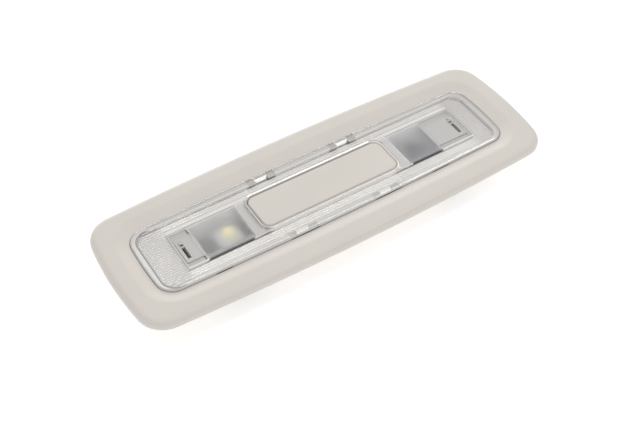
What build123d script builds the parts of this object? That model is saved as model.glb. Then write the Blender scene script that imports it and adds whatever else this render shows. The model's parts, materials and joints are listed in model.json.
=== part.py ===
from build123d import *
from math import atan2, degrees
import os

# Slim two-lamp ceiling light for a car. X runs along it, +Z points out of the lit face,
# and z = 0 is the plane of the rim that lies on the headliner. Millimetres throughout.

os.makedirs("parts", exist_ok=True)

# Bezel outline: a long rectangle whose four sides are shallow arcs
bezel_length = 190.0
bezel_width = 65.4
bezel_side_bow = 2.6
bezel_end_bow = 2.9
bezel_corner = 11.8

# Bezel section: rounded rim, flat land, and a shallow dish that falls to the lens
flange_height = 3.3
rim_round = 2.8
dish_width = 5.4
dish_drop = 1.3
dish_blend = 6.0
seat_width = 3.0
seat_corner = 7.0
flange_wall = 1.8
box_wall = 2.0
box_depth = 6.0
box_corner = 7.5
ledge_width = 1.6
ledge_corner = 6.0
ledge_thickness = 1.0
ledge_height = 0.4
rib_thickness = 1.2
rib_setback = 0.5
side_rib_spacing = 66.0
end_rib_spacing = 16.0

# Lens
border_end = 13.6
border_side = 14.1
lens_side_bow = 1.2
lens_end_bow = 1.0
lens_corner = 7.5
lens_gap = 0.25
lens_proud = 1.25
lens_thickness = 2.0
lens_bevel = 1.2
lens_skirt = 1.4
skirt_play = 0.05
frame_rib = 0.8
frame_play = 0.4
collar_gap = 0.2
bay_margin = 6.0
bay_recess = 0.5

# Snap hooks of the lens, two on each long side, and their windows in the bezel
hook_spacing = 39.4
hook_width = 5.6
hook_thickness = 1.3
hook_inset = 0.35
hook_barb = 1.3
hook_barb_land = 0.5
hook_reach = 2.8
hook_play = 0.1
window_drop = 0.5
window_height = 3.3
window_play = 0.4
hook_relief = 3.6
hook_room = 3.0

# Rocker switch
rocker_length = 63.6
rocker_width = 17.5
rocker_corner = 3.5
rocker_gap = 0.5
rocker_sink = 0.15
rocker_plate = 1.8
rocker_edge = 0.5
rocker_inset = 0.4
rocker_skirt_corner = 1.6
rocker_wall = 1.2
rocker_skirt_depth = 2.4
rocker_rib_spacing = 14.0
rocker_rib_depth = 1.2
pivot_drop = 5.4
trunnion_diameter = 2.4
trunnion_length = 1.9
trunnion_clearance = 0.05
ear_width = 4.0
ear_wall = 0.7
foot_setback = 9.8
foot_size = 4.0
foot_length = 2.6

# Carrier plate behind the lens
carrier_plate = 1.4
carrier_clearance = 0.25
carrier_rim = 1.4
bearing_gap = 0.4
bearing_width = 6.4
bearing_thickness = 1.9
bearing_wall = 0.85

# Lamp reflectors, one each side of the rocker: the left well is longer, the right plate is longer
left_plate_length = 31.0
right_plate_length = 33.6
left_well_length = 20.2
right_well_length = 15.6
reflector_tuck = 0.55
reflector_setback = 1.5
reflector_flange = 0.8
reflector_wall = 0.75
reflector_tongue = 12.8
well_setback = 2.7
well_rim = 1.2
well_near_rim = 2.2
well_flare = 5.2
well_lip = 0.3
well_clearance = 0.3
slit_width = 1.2
slit_notch = 0.55
slit_shift = 0.4
latch_inset = 2.0
latch_slot_length = 9.4
latch_slot_width = 1.5
latch_window = 2.6
latch_bridge = 0.7
latch_length = 1.2
latch_thickness = 0.8
latch_barb = 0.7
latch_height = 0.7
latch_play = 0.15

# Circuit board and what is soldered to it
board_end_margin = 10.4
board_width = 24.0
board_corner = 2.0
board_thickness = 1.6
board_drop = 1.6
board_clearance = 0.1
board_notch_play = 0.6
led_size = 3.5
led_height = 0.9
led_cup = 2.7
led_cup_depth = 0.3
led_inset = 7.0
led_shift = 0.9
chip_length = 5.0
chip_width = 4.0
chip_height = 1.5
chip_edge = 0.25
chip_standoff = 0.1
chip_lead_pitch = 1.27
chip_lead_width = 0.4
chip_lead_reach = 1.0
chip_lead_thickness = 0.25
chip_place = -32.0
resistor_length = 2.0
resistor_width = 1.25
resistor_height = 0.55
resistor_pitch = 6.0
resistor_row = 5.0
resistor_end = 0.4
resistor_cap_step = 0.05
capacitor_length = 3.2
capacitor_width = 2.5
capacitor_height = 1.8
capacitor_end = 0.5
capacitor_cap_step = 0.05
capacitor_place = -44.0
capacitor_pitch = 7.0
diode_length = 4.3
diode_width = 2.6
diode_height = 2.1
diode_tab = 0.5
diode_tab_width = 1.4
diode_tab_thickness = 0.3
diode_place = 48.0

# Silicone switch mat on the board
mat_margin = 0.6
mat_width = 12.0
mat_corner = 2.0
mat_thickness = 0.8
mat_foot_gap = 0.1
key_base = 8.8
key_flare = 1.8
key_wall = 0.7
key_roof = 0.8
pill_size = 2.4
pill_height = 0.4
tab_length = 3.0
tab_width = 1.2
tab_play = 0.1
tab_spacing = 24.0

# Plug inlet on the back of the board
inlet_length = 14.35
inlet_width = 10.0
inlet_height = 5.9
inlet_wall = 0.8
inlet_back = 4.0
inlet_setback = 0.3
inlet_clearance = 0.05
pin_count = 4
pin_pitch = 2.0
pin_size = 0.64
pin_reach = 5.5
pin_setback = 1.5
pin_stand = 0.7
pin_play = 0.08

# Rear cover
cover_rim = 1.6
cover_inset = 4.0
cover_wall = 1.6
cover_floor = 1.6
cover_edge = 1.4
cover_clearance = 0.1
inlet_play = 0.3
tongue_length = 100.0
tongue_height = 0.6
tongue_thickness = 1.0
tongue_play = 0.2

# Screws
screw_diameter = 2.2
screw_play = 0.05
screw_hole_play = 0.2
screw_head = 4.2
screw_head_height = 1.5
screw_head_play = 0.3
screw_grip = 3.4
screw_tip_gap = 0.4
cover_screw_end = 9.0
cover_screw_side = 10.0
cover_screw_seat = 2.0
board_screw_offset = 5.4
board_screw_inset = 2.4
board_screw_grip = 2.2
boss_wall = 1.5

# Spring clips that hold the light in the headliner
clip_spacing = 100.0
clip_width = 8.0
clip_thickness = 0.5
clip_play = 0.12
clip_standoff = 0.15
clip_leg_top = 1.4
clip_reach = 0.2
clip_leg = 8.2
clip_draw = 1.8
clip_fold = 1.9
clip_bulge = 4.2
clip_shoulder = 5.2
clip_tip = 1.9
clip_tip_out = 2.6
clip_bend = 0.9
clip_pocket_wall = 1.5
clip_pocket_top = 1.0
clip_pocket_height = 4.0
clip_lip = 1.2

# Levels, all from the headliner plane
aperture_level = flange_height - dish_drop
lens_top = aperture_level + lens_proud
lens_under = lens_top - lens_thickness
ledge_under = ledge_height - ledge_thickness
carrier_top = ledge_under
carrier_under = carrier_top - carrier_plate
reflector_top = carrier_top + reflector_flange
collar_under = reflector_top + collar_gap
board_top = carrier_under - board_drop
board_under = board_top - board_thickness
rocker_top = lens_top - rocker_sink
rocker_under = rocker_top - rocker_plate
pivot_level = rocker_top - pivot_drop
ear_length = rocker_under - pivot_level + trunnion_diameter / 2 + ear_wall
foot_level = rocker_under - foot_length
mat_top = board_top + mat_thickness
key_level = foot_level - mat_foot_gap
well_under = board_top + board_clearance
inlet_under = board_under - inlet_clearance - inlet_height
cover_top = -box_depth
cover_inside = inlet_under - cover_clearance
cover_under = cover_inside - cover_floor
clip_fold_level = cover_under - clip_reach + clip_thickness / 2
window_top = -window_drop

# Lens, and the straight-sided box behind it
lens_length = bezel_length - 2 * border_end
lens_width = bezel_width - 2 * border_side
box_inside_y = lens_width / 2 + lens_gap
box_outside_x = lens_length / 2 + lens_gap + box_wall
box_outside_y = box_inside_y + box_wall
carrier_x = lens_length / 2 - lens_end_bow + lens_gap - carrier_clearance
carrier_y = lens_width / 2 - lens_side_bow + lens_gap - carrier_clearance
hook_face_y = lens_width / 2 - hook_inset
bay_length = hook_spacing + hook_width + 2 * bay_margin

# Rocker, and the lamp places on each side of it
rocker_opening_length = rocker_length + 2 * rocker_gap
rocker_opening_width = rocker_width + 2 * rocker_gap
rocker_skirt_y = rocker_width / 2 - rocker_inset
bearing_start_y = rocker_skirt_y + bearing_gap
foot_spacing = rocker_length - 2 * foot_setback
reflector_start = rocker_opening_length / 2 + frame_rib + reflector_setback
frame_left = reflector_start + left_plate_length + frame_play + frame_rib
frame_right = reflector_start + right_plate_length + frame_play + frame_rib
frame_length = frame_left + frame_right
frame_centre = (frame_right - frame_left) / 2
frame_width = rocker_opening_width + 2 * frame_rib
reflector_width = frame_width - 2 * reflector_tuck
well_start = reflector_start + well_setback
well_width = reflector_width - well_rim - well_near_rim
well_y = (well_near_rim - well_rim) / 2
slit_y = (slit_width - reflector_width) / 2
led_offset = well_start + led_inset
lamps = (
    (-1, left_plate_length, left_well_length),
    (1, right_plate_length, right_well_length),
)

# Board, plug inlet and fastener places
board_length = lens_length - 2 * board_end_margin
mat_length = foot_spacing + key_base + 2 * mat_margin
inlet_front = box_outside_x - cover_inset - inlet_setback
inlet_start = inlet_front - inlet_length
pin_x = inlet_start - pin_setback
cover_screw_x = box_outside_x - cover_screw_end
cover_screw_y = box_outside_y - cover_screw_side
cover_screw_places = ((-cover_screw_x, cover_screw_y), (cover_screw_x, -cover_screw_y))
board_screw_y = board_width / 2 - board_screw_inset
board_screw_places = (
    (-well_start - left_well_length - board_screw_offset, -board_screw_y),
    (well_start + right_well_length + board_screw_offset, board_screw_y),
)
screw_pilot = screw_diameter + 2 * screw_play
screw_hole = screw_diameter + 2 * screw_hole_play
boss_size = screw_diameter + 2 * boss_wall
clip_leg_y = box_outside_y + clip_standoff


def bowed_outline(length, width, side_bow, end_bow, corner, grow):
    """Rounded rectangle with a shallow arc for each side, grown outwards by one distance."""
    x = length / 2 + grow
    y = width / 2 + grow
    corner_x = x - end_bow
    corner_y = y - side_bow
    with BuildSketch() as outline:
        with BuildLine():
            ThreePointArc((-corner_x, corner_y), (0, y), (corner_x, corner_y))
            ThreePointArc((corner_x, corner_y), (x, 0), (corner_x, -corner_y))
            ThreePointArc((corner_x, -corner_y), (0, -y), (-corner_x, -corner_y))
            ThreePointArc((-corner_x, -corner_y), (-x, 0), (-corner_x, corner_y))
        make_face()
        fillet(outline.vertices(), corner + grow)
    return outline.sketch


def bezel_outline(grow=0.0):
    """Outer outline of the bezel."""
    return bowed_outline(bezel_length, bezel_width, bezel_side_bow, bezel_end_bow, bezel_corner, grow)


def lens_outline(grow=0.0):
    """Outline of the lens."""
    return bowed_outline(lens_length, lens_width, lens_side_bow, lens_end_bow, lens_corner, grow)


def cut_corner_outline(half_length, half_width, corner):
    """Straight-sided rectangle with its four corners cut off at 45 degrees."""
    with BuildSketch() as outline:
        Rectangle(2 * half_length, 2 * half_width)
        chamfer(outline.vertices(), length=corner)
    return outline.sketch


def box_outline():
    """Outside of the box behind the bezel, which the rim of the rear cover follows."""
    return cut_corner_outline(box_outside_x, box_outside_y, box_corner)


def tub_outline(inset):
    """Outline of the tub of the rear cover, drawn in from the outside of the box."""
    corner = box_corner - inset / 2
    return cut_corner_outline(box_outside_x - inset, box_outside_y - inset, corner)


# Bezel: flange, box walls, lens ledge, hook windows and clip pockets in one moulding
with BuildPart() as bezel:
    with BuildSketch():
        add(bezel_outline())
    extrude(amount=flange_height)
    fillet(bezel.edges().group_by(Axis.Z)[-1], radius=rim_round)

    # Lens opening, with a dish round it that blends into the flat land
    with BuildSketch():
        add(lens_outline(lens_gap))
    extrude(amount=flange_height, mode=Mode.SUBTRACT)
    land = bezel.faces().sort_by(Axis.Z)[-1]
    chamfer(land.inner_wires()[0].edges(), length=dish_width, length2=dish_drop, reference=land)
    land = bezel.faces().sort_by(Axis.Z)[-1]
    fillet(land.inner_wires()[0].edges(), radius=dish_blend)

    # Hollow back of the flange between the rim and the box
    hollow_x = bezel_length / 2 - bezel_end_bow - seat_width
    hollow_y = bezel_width / 2 - bezel_side_bow - seat_width
    with BuildSketch():
        add(cut_corner_outline(hollow_x, hollow_y, seat_corner))
        add(box_outline(), mode=Mode.SUBTRACT)
    extrude(amount=flange_height - flange_wall, mode=Mode.SUBTRACT)

    # Ribs across that hollow
    with BuildSketch(Plane.XY.offset(rib_setback)):
        with GridLocations(side_rib_spacing, 0, 3, 1):
            Rectangle(rib_thickness, 2 * hollow_y + seat_width)
        with GridLocations(0, end_rib_spacing, 1, 2):
            Rectangle(2 * hollow_x + seat_width, rib_thickness)
        add(box_outline(), mode=Mode.SUBTRACT)
    extrude(amount=flange_height - flange_wall - rib_setback)

    # Box walls
    with BuildSketch(Plane.XY.offset(-box_depth)):
        add(box_outline())
        add(lens_outline(lens_gap), mode=Mode.SUBTRACT)
    extrude(amount=box_depth)

    # Ledge under the lens, open at the hook bays
    with BuildSketch(Plane.XY.offset(ledge_under)):
        add(lens_outline(lens_gap + box_wall / 2))
        RectangleRounded(
            lens_length - 2 * (lens_end_bow + ledge_width),
            lens_width - 2 * (lens_side_bow + ledge_width),
            ledge_corner,
            mode=Mode.SUBTRACT,
        )
        Rectangle(bay_length, bezel_width, mode=Mode.SUBTRACT)
    extrude(amount=ledge_thickness)

    # Windows for the lens hooks
    with BuildSketch(Plane.XY.offset(window_top)):
        with GridLocations(hook_spacing, box_inside_y + box_outside_y, 2, 2):
            Rectangle(hook_width + 2 * window_play, 2 * box_wall)
    extrude(amount=-window_height, mode=Mode.SUBTRACT)

    # Clip pockets: a block with a slot that takes the leg of the clip
    with BuildSketch(Plane.XY.offset(-clip_pocket_top)):
        pocket_depth = clip_leg_y + clip_thickness + clip_lip - box_inside_y - box_wall / 2
        pocket_span = 2 * box_inside_y + box_wall + pocket_depth
        with GridLocations(clip_spacing, pocket_span, 2, 2):
            Rectangle(clip_width + 2 * clip_pocket_wall, pocket_depth)
        with GridLocations(clip_spacing, 2 * clip_leg_y + clip_thickness, 2, 2):
            Rectangle(clip_width + 2 * clip_play, clip_thickness + 2 * clip_play, mode=Mode.SUBTRACT)
    extrude(amount=-clip_pocket_height)

bezel.part.label = "bezel"
export_step(bezel.part, "parts/bezel.step")

# Lens: one clear moulding with a bevelled edge, a skirt, inner ribs and four hooks
with BuildPart() as lens:
    with BuildSketch(Plane.XY.offset(lens_under)):
        add(lens_outline())
    extrude(amount=lens_thickness)
    chamfer(lens.edges().group_by(Axis.Z)[-1], length=lens_bevel)

    # Thinner bays over the hooks
    with BuildSketch(Plane.XY.offset(lens_under)):
        Rectangle(bay_length, bezel_width)
        Rectangle(bay_length, frame_width, mode=Mode.SUBTRACT)
    extrude(amount=bay_recess, mode=Mode.SUBTRACT)

    # Skirt that stands on the ledge of the bezel
    with BuildSketch(Plane.XY.offset(lens_under)):
        add(lens_outline())
        add(lens_outline(-lens_skirt), mode=Mode.SUBTRACT)
        Rectangle(bay_length, bezel_width, mode=Mode.SUBTRACT)
    extrude(amount=ledge_height + skirt_play - lens_under)

    # Ribs round the lamp windows, open over the slits, and round the rocker
    with BuildSketch(Plane.XY.offset(collar_under)):
        with Locations((frame_centre, 0)):
            Rectangle(frame_length, frame_width)
            Rectangle(frame_length - 2 * frame_rib, frame_width - 2 * frame_rib, mode=Mode.SUBTRACT)
        for side, plate_length, well_length in lamps:
            with Locations((side * (well_start + well_length / 2 + slit_shift), -frame_width / 2)):
                Rectangle(well_length, 2 * frame_rib, mode=Mode.SUBTRACT)
        Rectangle(rocker_opening_length + 2 * frame_rib, frame_width)
    extrude(amount=lens_under - collar_under)

    # Opening for the rocker
    with BuildSketch(Plane.XY.offset(collar_under)):
        RectangleRounded(rocker_opening_length, rocker_opening_width, rocker_corner + rocker_gap)
    extrude(amount=lens_top - collar_under, mode=Mode.SUBTRACT)

    # Hooks
    catch_level = window_top - hook_play
    tip_level = catch_level - hook_reach
    for x in (-hook_spacing / 2, hook_spacing / 2):
        for facing in (-1, 1):
            with BuildSketch(Plane.YZ.offset(x - hook_width / 2)):
                with BuildLine():
                    Polyline(
                        (facing * hook_face_y, lens_under + bay_recess),
                        (facing * hook_face_y, catch_level),
                        (facing * (hook_face_y + hook_barb), catch_level),
                        (facing * (hook_face_y + hook_barb), catch_level - hook_barb_land),
                        (facing * hook_face_y, tip_level),
                        (facing * (hook_face_y - hook_thickness), tip_level),
                        (facing * (hook_face_y - hook_thickness), lens_under + bay_recess),
                        close=True,
                    )
                make_face()
            extrude(amount=hook_width)

lens.part.label = "lens"
export_step(lens.part, "parts/lens.step")

# Rocker: blank finger plate with a skirt, two feet and two round trunnions
with BuildPart() as rocker:
    with BuildSketch(Plane.XY.offset(rocker_under)):
        RectangleRounded(rocker_length, rocker_width, rocker_corner)
    extrude(amount=rocker_plate)
    chamfer(rocker.edges().group_by(Axis.Z)[-1], length=rocker_edge)

    # Skirt and cross ribs
    skirt_x = rocker_length / 2 - rocker_inset
    with BuildSketch(Plane.XY.offset(rocker_under)):
        add(cut_corner_outline(skirt_x, rocker_skirt_y, rocker_skirt_corner))
        Rectangle(2 * (skirt_x - rocker_wall), 2 * (rocker_skirt_y - rocker_wall), mode=Mode.SUBTRACT)
    extrude(amount=-rocker_skirt_depth)
    with BuildSketch(Plane.XY.offset(rocker_under)):
        with GridLocations(rocker_rib_spacing, 0, 4, 1):
            Rectangle(rocker_wall, 2 * rocker_skirt_y - rocker_wall)
    extrude(amount=-rocker_rib_depth)

    # Feet over the keys of the switch mat
    with BuildSketch(Plane.XY.offset(rocker_under)):
        with GridLocations(foot_spacing, 0, 2, 1):
            Rectangle(foot_size, foot_size)
    extrude(amount=-foot_length)

    # Ears and trunnions at mid length
    for facing in (-1, 1):
        with BuildSketch(Plane.XZ.offset(-facing * rocker_skirt_y)):
            with Locations((0, rocker_under)):
                Rectangle(ear_width, ear_length, align=(Align.CENTER, Align.MAX))
        extrude(amount=facing * rocker_wall)
        with BuildSketch(Plane.XZ.offset(-facing * (rocker_skirt_y - rocker_wall / 2))):
            with Locations((0, pivot_level)):
                Circle(trunnion_diameter / 2)
        extrude(amount=-facing * (trunnion_length + rocker_wall / 2))

rocker.part.label = "rocker"
export_step(rocker.part, "parts/rocker.step")

# Carrier: plate behind the lens that holds the reflectors, the rocker and the board
with BuildPart() as carrier:
    with BuildSketch(Plane.XY.offset(carrier_under)):
        RectangleRounded(2 * carrier_x, 2 * carrier_y, lens_corner)
    extrude(amount=carrier_plate)

    # Rim that the rear cover presses on
    with BuildSketch(Plane.XY.offset(cover_top)):
        RectangleRounded(2 * carrier_x, 2 * carrier_y, lens_corner)
        add(
            cut_corner_outline(carrier_x - carrier_rim, carrier_y - carrier_rim, lens_corner),
            mode=Mode.SUBTRACT,
        )
    extrude(amount=carrier_under - cover_top)

    # Room for the lens hooks
    with BuildSketch(Plane.XY.offset(cover_top)):
        with GridLocations(hook_spacing, 2 * hook_face_y, 2, 2):
            Rectangle(hook_width + 2 * hook_relief, 2 * hook_room)
    extrude(amount=carrier_top - cover_top, mode=Mode.SUBTRACT)

    # Room for the plug inlet under the end of the rim
    with BuildSketch(Plane.YZ.offset(carrier_x - 2 * carrier_rim)):
        with Locations((0, (cover_top + board_under) / 2)):
            Rectangle(inlet_width + 2 * inlet_play, board_under - cover_top)
    extrude(amount=2 * carrier_rim, mode=Mode.SUBTRACT)

    # Bearings for the rocker
    bearing_level = pivot_level - trunnion_diameter / 2 - trunnion_clearance - bearing_wall
    with BuildSketch(Plane.XY.offset(bearing_level)):
        with GridLocations(0, 2 * bearing_start_y + bearing_thickness, 1, 2):
            Rectangle(bearing_width, bearing_thickness)
    extrude(amount=carrier_top - bearing_level)

    # Bosses for the board screws and the cover screws
    with BuildSketch(Plane.XY.offset(board_top)):
        with Locations(*board_screw_places):
            Rectangle(boss_size, boss_size)
    extrude(amount=carrier_under - board_top)
    with BuildSketch(Plane.XY.offset(cover_top)):
        with Locations(*cover_screw_places):
            Rectangle(boss_size, boss_size)
    extrude(amount=carrier_under - cover_top)

    # Openings for the rocker, and for the well, slit and latch of each reflector
    well_room = 2 * (reflector_wall + well_clearance)
    with BuildSketch(Plane.XY.offset(carrier_under)):
        Rectangle(rocker_length, 2 * bearing_start_y)
        for side, plate_length, well_length in lamps:
            well_x = side * (well_start + well_length / 2)
            with Locations((well_x, well_y)):
                Rectangle(well_length + well_room, well_width + well_room)
            with Locations((well_x + side * slit_shift, slit_y)):
                Rectangle(well_length, slit_width)
            with Locations((side * (reflector_start + plate_length - latch_inset), 0)):
                Rectangle(latch_slot_width, latch_slot_length)
    extrude(amount=carrier_plate, mode=Mode.SUBTRACT)

    # Trunnion holes
    with BuildSketch(Plane.XZ):
        with Locations((0, pivot_level)):
            Circle(trunnion_diameter / 2 + trunnion_clearance)
    extrude(amount=bearing_start_y + bearing_thickness, both=True, mode=Mode.SUBTRACT)

    # Pilot holes
    with BuildSketch(Plane.XY.offset(board_top)):
        with Locations(*board_screw_places):
            Circle(screw_pilot / 2)
    extrude(amount=board_screw_grip, mode=Mode.SUBTRACT)
    with BuildSketch(Plane.XY.offset(cover_top)):
        with Locations(*cover_screw_places):
            Circle(screw_pilot / 2)
    extrude(amount=screw_grip, mode=Mode.SUBTRACT)

    # Latch fingers that come up through the slots and hold the reflectors down
    finger_y = (latch_slot_length - latch_window) / 2
    latch_level = reflector_top + latch_play
    for side, plate_length, well_length in lamps:
        finger_x = side * (reflector_start + plate_length - latch_inset + latch_slot_width / 2)
        with BuildSketch(Plane.XZ.offset(-finger_y - latch_length / 2)):
            with BuildLine():
                Polyline(
                    (finger_x, carrier_under),
                    (finger_x, latch_level + latch_height),
                    (finger_x - side * latch_thickness, latch_level + latch_height),
                    (finger_x - side * (latch_thickness + latch_barb), latch_level),
                    (finger_x - side * latch_thickness, latch_level),
                    (finger_x - side * latch_thickness, carrier_under),
                    close=True,
                )
            make_face()
        extrude(amount=latch_length)

carrier.part.label = "carrier"
export_step(carrier.part, "parts/carrier.step")


def well_block(centre, length, lip, grow):
    """Trough down to the board, with an upright near side and a long slope on its far side,
    grown sideways by one distance."""
    near = well_near_rim - reflector_width / 2 - grow
    far = reflector_width / 2 - well_rim + grow
    with BuildPart() as block:
        with BuildSketch(Plane.YZ.offset(centre - length / 2 - grow)):
            with BuildLine():
                Polyline(
                    (near, reflector_top),
                    (near, well_under),
                    (far - well_flare, well_under),
                    (far, reflector_top - lip),
                    (far, reflector_top),
                    close=True,
                )
            make_face()
        extrude(amount=length + 2 * grow)
    return block.part


# Reflectors: a flange over the carrier, a well round the lamp and a tongue out to the latch
for (side, plate_length, well_length), name in zip(lamps, ("left_reflector", "right_reflector")):
    well_x = side * (well_start + well_length / 2)
    flange_length = well_setback + well_length + reflector_wall
    latch_x = side * (reflector_start + plate_length - latch_inset)
    with BuildPart() as reflector:
        with BuildSketch(Plane.XY.offset(carrier_top)):
            with Locations((side * (reflector_start + flange_length / 2), 0)):
                Rectangle(flange_length, reflector_width)
            with Locations((side * (reflector_start + plate_length / 2), 0)):
                Rectangle(plate_length, reflector_tongue)
        extrude(amount=reflector_flange)
        add(well_block(well_x, well_length, reflector_flange, reflector_wall))
        add(well_block(well_x, well_length, well_lip, 0), mode=Mode.SUBTRACT)

        # Slit along the near edge, and the slot of the latch with a bridge across it
        with BuildSketch(Plane.XY.offset(carrier_top)):
            with Locations((well_x + side * slit_shift, -reflector_width / 2)):
                Rectangle(well_length, 2 * slit_notch)
            with Locations((latch_x, 0)):
                Rectangle(latch_slot_width, latch_slot_length)
            with Locations((latch_x, latch_slot_length / 2 - latch_window)):
                Rectangle(
                    latch_slot_width,
                    latch_bridge,
                    align=(Align.CENTER, Align.MAX),
                    mode=Mode.SUBTRACT,
                )
        extrude(amount=reflector_flange, mode=Mode.SUBTRACT)
    reflector.part.label = name
    export_step(reflector.part, f"parts/{name}.step")

# Circuit board with its notches and holes
with BuildPart() as circuit_board:
    with BuildSketch(Plane.XY.offset(board_under)):
        add(cut_corner_outline(board_length / 2, board_width / 2, board_corner))
        with GridLocations(0, board_width, 1, 2):
            Rectangle(
                bearing_width + 2 * board_notch_play,
                board_width - 2 * (rocker_skirt_y - rocker_wall - board_notch_play),
                mode=Mode.SUBTRACT,
            )
        with Locations(*board_screw_places):
            Circle(screw_hole / 2, mode=Mode.SUBTRACT)
        with GridLocations(tab_spacing, 0, 2, 1):
            Rectangle(tab_length + 2 * tab_play, tab_width + 2 * tab_play, mode=Mode.SUBTRACT)
        with Locations((pin_x, 0)):
            with GridLocations(0, pin_pitch, 1, pin_count):
                Rectangle(pin_size + 2 * pin_play, pin_size + 2 * pin_play, mode=Mode.SUBTRACT)
    extrude(amount=board_thickness)

circuit_board.part.label = "circuit_board"
export_step(circuit_board.part, "parts/circuit_board.step")

# Lamps: surface-mounted package with a square cup for the phosphor
for side, name in ((-1, "left_led"), (1, "right_led")):
    with BuildPart() as led:
        with BuildSketch(Plane.XY.offset(board_top)):
            with Locations((side * led_offset, led_shift)):
                Rectangle(led_size, led_size)
        extrude(amount=led_height)
        with BuildSketch(Plane.XY.offset(board_top + led_height)):
            with Locations((side * led_offset, led_shift)):
                Rectangle(led_cup, led_cup)
        extrude(amount=-led_cup_depth, mode=Mode.SUBTRACT)
    led.part.label = name
    export_step(led.part, f"parts/{name}.step")

# Switch mat: silicone sheet with two hollow keys, held by tabs in the board
with BuildPart() as switch_mat:
    with BuildSketch(Plane.XY.offset(board_top)):
        add(cut_corner_outline(mat_length / 2, mat_width / 2, mat_corner))
    extrude(amount=mat_thickness)
    with BuildSketch(Plane.XY.offset(board_under)):
        with GridLocations(tab_spacing, 0, 2, 1):
            Rectangle(tab_length, tab_width)
    extrude(amount=board_thickness)

    # Keys on sloping webs, hollow underneath, with a contact pill under the roof
    key_inside = key_level - key_roof
    key_taper = degrees(atan2(key_flare, key_level - mat_top))
    with BuildSketch(Plane.XY.offset(mat_top)):
        with GridLocations(foot_spacing, 0, 2, 1):
            Rectangle(key_base, key_base)
    extrude(amount=key_level - mat_top, taper=key_taper)
    with BuildSketch(Plane.XY.offset(board_top)):
        with GridLocations(foot_spacing, 0, 2, 1):
            Rectangle(key_base - 2 * key_wall, key_base - 2 * key_wall)
    extrude(amount=key_inside - board_top, taper=key_taper, mode=Mode.SUBTRACT)
    with BuildSketch(Plane.XY.offset(key_inside)):
        with GridLocations(foot_spacing, 0, 2, 1):
            Rectangle(pill_size, pill_size)
    extrude(amount=-pill_height)

switch_mat.part.label = "switch_mat"
export_step(switch_mat.part, "parts/switch_mat.step")

# Driver chip under the board, on four pairs of flat leads
with BuildPart() as driver_chip:
    with BuildSketch(Plane.XY.offset(board_under - chip_standoff)):
        with Locations((chip_place, 0)):
            Rectangle(chip_length, chip_width)
    extrude(amount=-chip_height)
    chamfer(driver_chip.edges().group_by(Axis.Z)[0], length=chip_edge)
    with BuildSketch(Plane.XY.offset(board_under)):
        with Locations((chip_place, 0)):
            with GridLocations(chip_lead_pitch, 0, 4, 1):
                Rectangle(chip_lead_width, chip_width + 2 * chip_lead_reach)
    extrude(amount=-chip_lead_thickness)

driver_chip.part.label = "driver_chip"
export_step(driver_chip.part, "parts/driver_chip.step")

# Chip resistors: a row of separate bodies with raised metal ends
with BuildPart() as resistors:
    with BuildSketch(Plane.XY.offset(board_under)):
        with Locations((0, resistor_row)):
            with GridLocations(resistor_pitch, 0, 4, 1):
                Rectangle(resistor_length, resistor_width)
    extrude(amount=resistor_cap_step - resistor_height)
    with BuildSketch(Plane.XY.offset(board_under)):
        for end in (-1, 1):
            with Locations((end * (resistor_length - resistor_end) / 2, resistor_row)):
                with GridLocations(resistor_pitch, 0, 4, 1):
                    Rectangle(resistor_end, resistor_width)
    extrude(amount=-resistor_height)

resistors.part.label = "resistors"
export_step(resistors.part, "parts/resistors.step")

# Chip capacitors with raised metal ends
with BuildPart() as capacitors:
    with BuildSketch(Plane.XY.offset(board_under)):
        with Locations((capacitor_place, 0)):
            with GridLocations(0, capacitor_pitch, 1, 2):
                Rectangle(capacitor_length, capacitor_width)
    extrude(amount=capacitor_cap_step - capacitor_height)
    with BuildSketch(Plane.XY.offset(board_under)):
        for end in (-1, 1):
            with Locations((capacitor_place + end * (capacitor_length - capacitor_end) / 2, 0)):
                with GridLocations(0, capacitor_pitch, 1, 2):
                    Rectangle(capacitor_end, capacitor_width)
    extrude(amount=-capacitor_height)

capacitors.part.label = "capacitors"
export_step(capacitors.part, "parts/capacitors.step")

# Protection diode with folded tabs
with BuildPart() as protection_diode:
    with BuildSketch(Plane.XY.offset(board_under)):
        with Locations((diode_place, 0)):
            Rectangle(diode_length, diode_width)
    extrude(amount=-diode_height)
    chamfer(protection_diode.edges().group_by(Axis.Z)[0], length=diode_tab_thickness)
    with BuildSketch(Plane.XY.offset(board_under)):
        with Locations((diode_place, 0)):
            Rectangle(diode_length + 2 * diode_tab, diode_tab_width)
    extrude(amount=-diode_tab_thickness)

protection_diode.part.label = "protection_diode"
export_step(protection_diode.part, "parts/protection_diode.step")

# Plug inlet: shroud open towards +X, with a thick back that carries the pins
pin_level = board_under - inlet_clearance - inlet_height / 2
with BuildPart() as plug_inlet:
    with BuildSketch(Plane.YZ.offset(inlet_start)):
        with Locations((0, pin_level)):
            Rectangle(inlet_width, inlet_height)
    extrude(amount=inlet_front - inlet_start)
    with BuildSketch(Plane.YZ.offset(inlet_start + inlet_back)):
        with Locations((0, pin_level)):
            Rectangle(inlet_width - 2 * inlet_wall, inlet_height - 2 * inlet_wall)
    extrude(amount=inlet_front - inlet_start - inlet_back, mode=Mode.SUBTRACT)
    with BuildSketch(Plane.YZ.offset(inlet_start)):
        with Locations((0, pin_level)):
            with GridLocations(pin_pitch, 0, pin_count, 1):
                Rectangle(pin_size + 2 * pin_play, pin_size + 2 * pin_play)
    extrude(amount=inlet_back, mode=Mode.SUBTRACT)

plug_inlet.part.label = "plug_inlet"
export_step(plug_inlet.part, "parts/plug_inlet.step")

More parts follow.
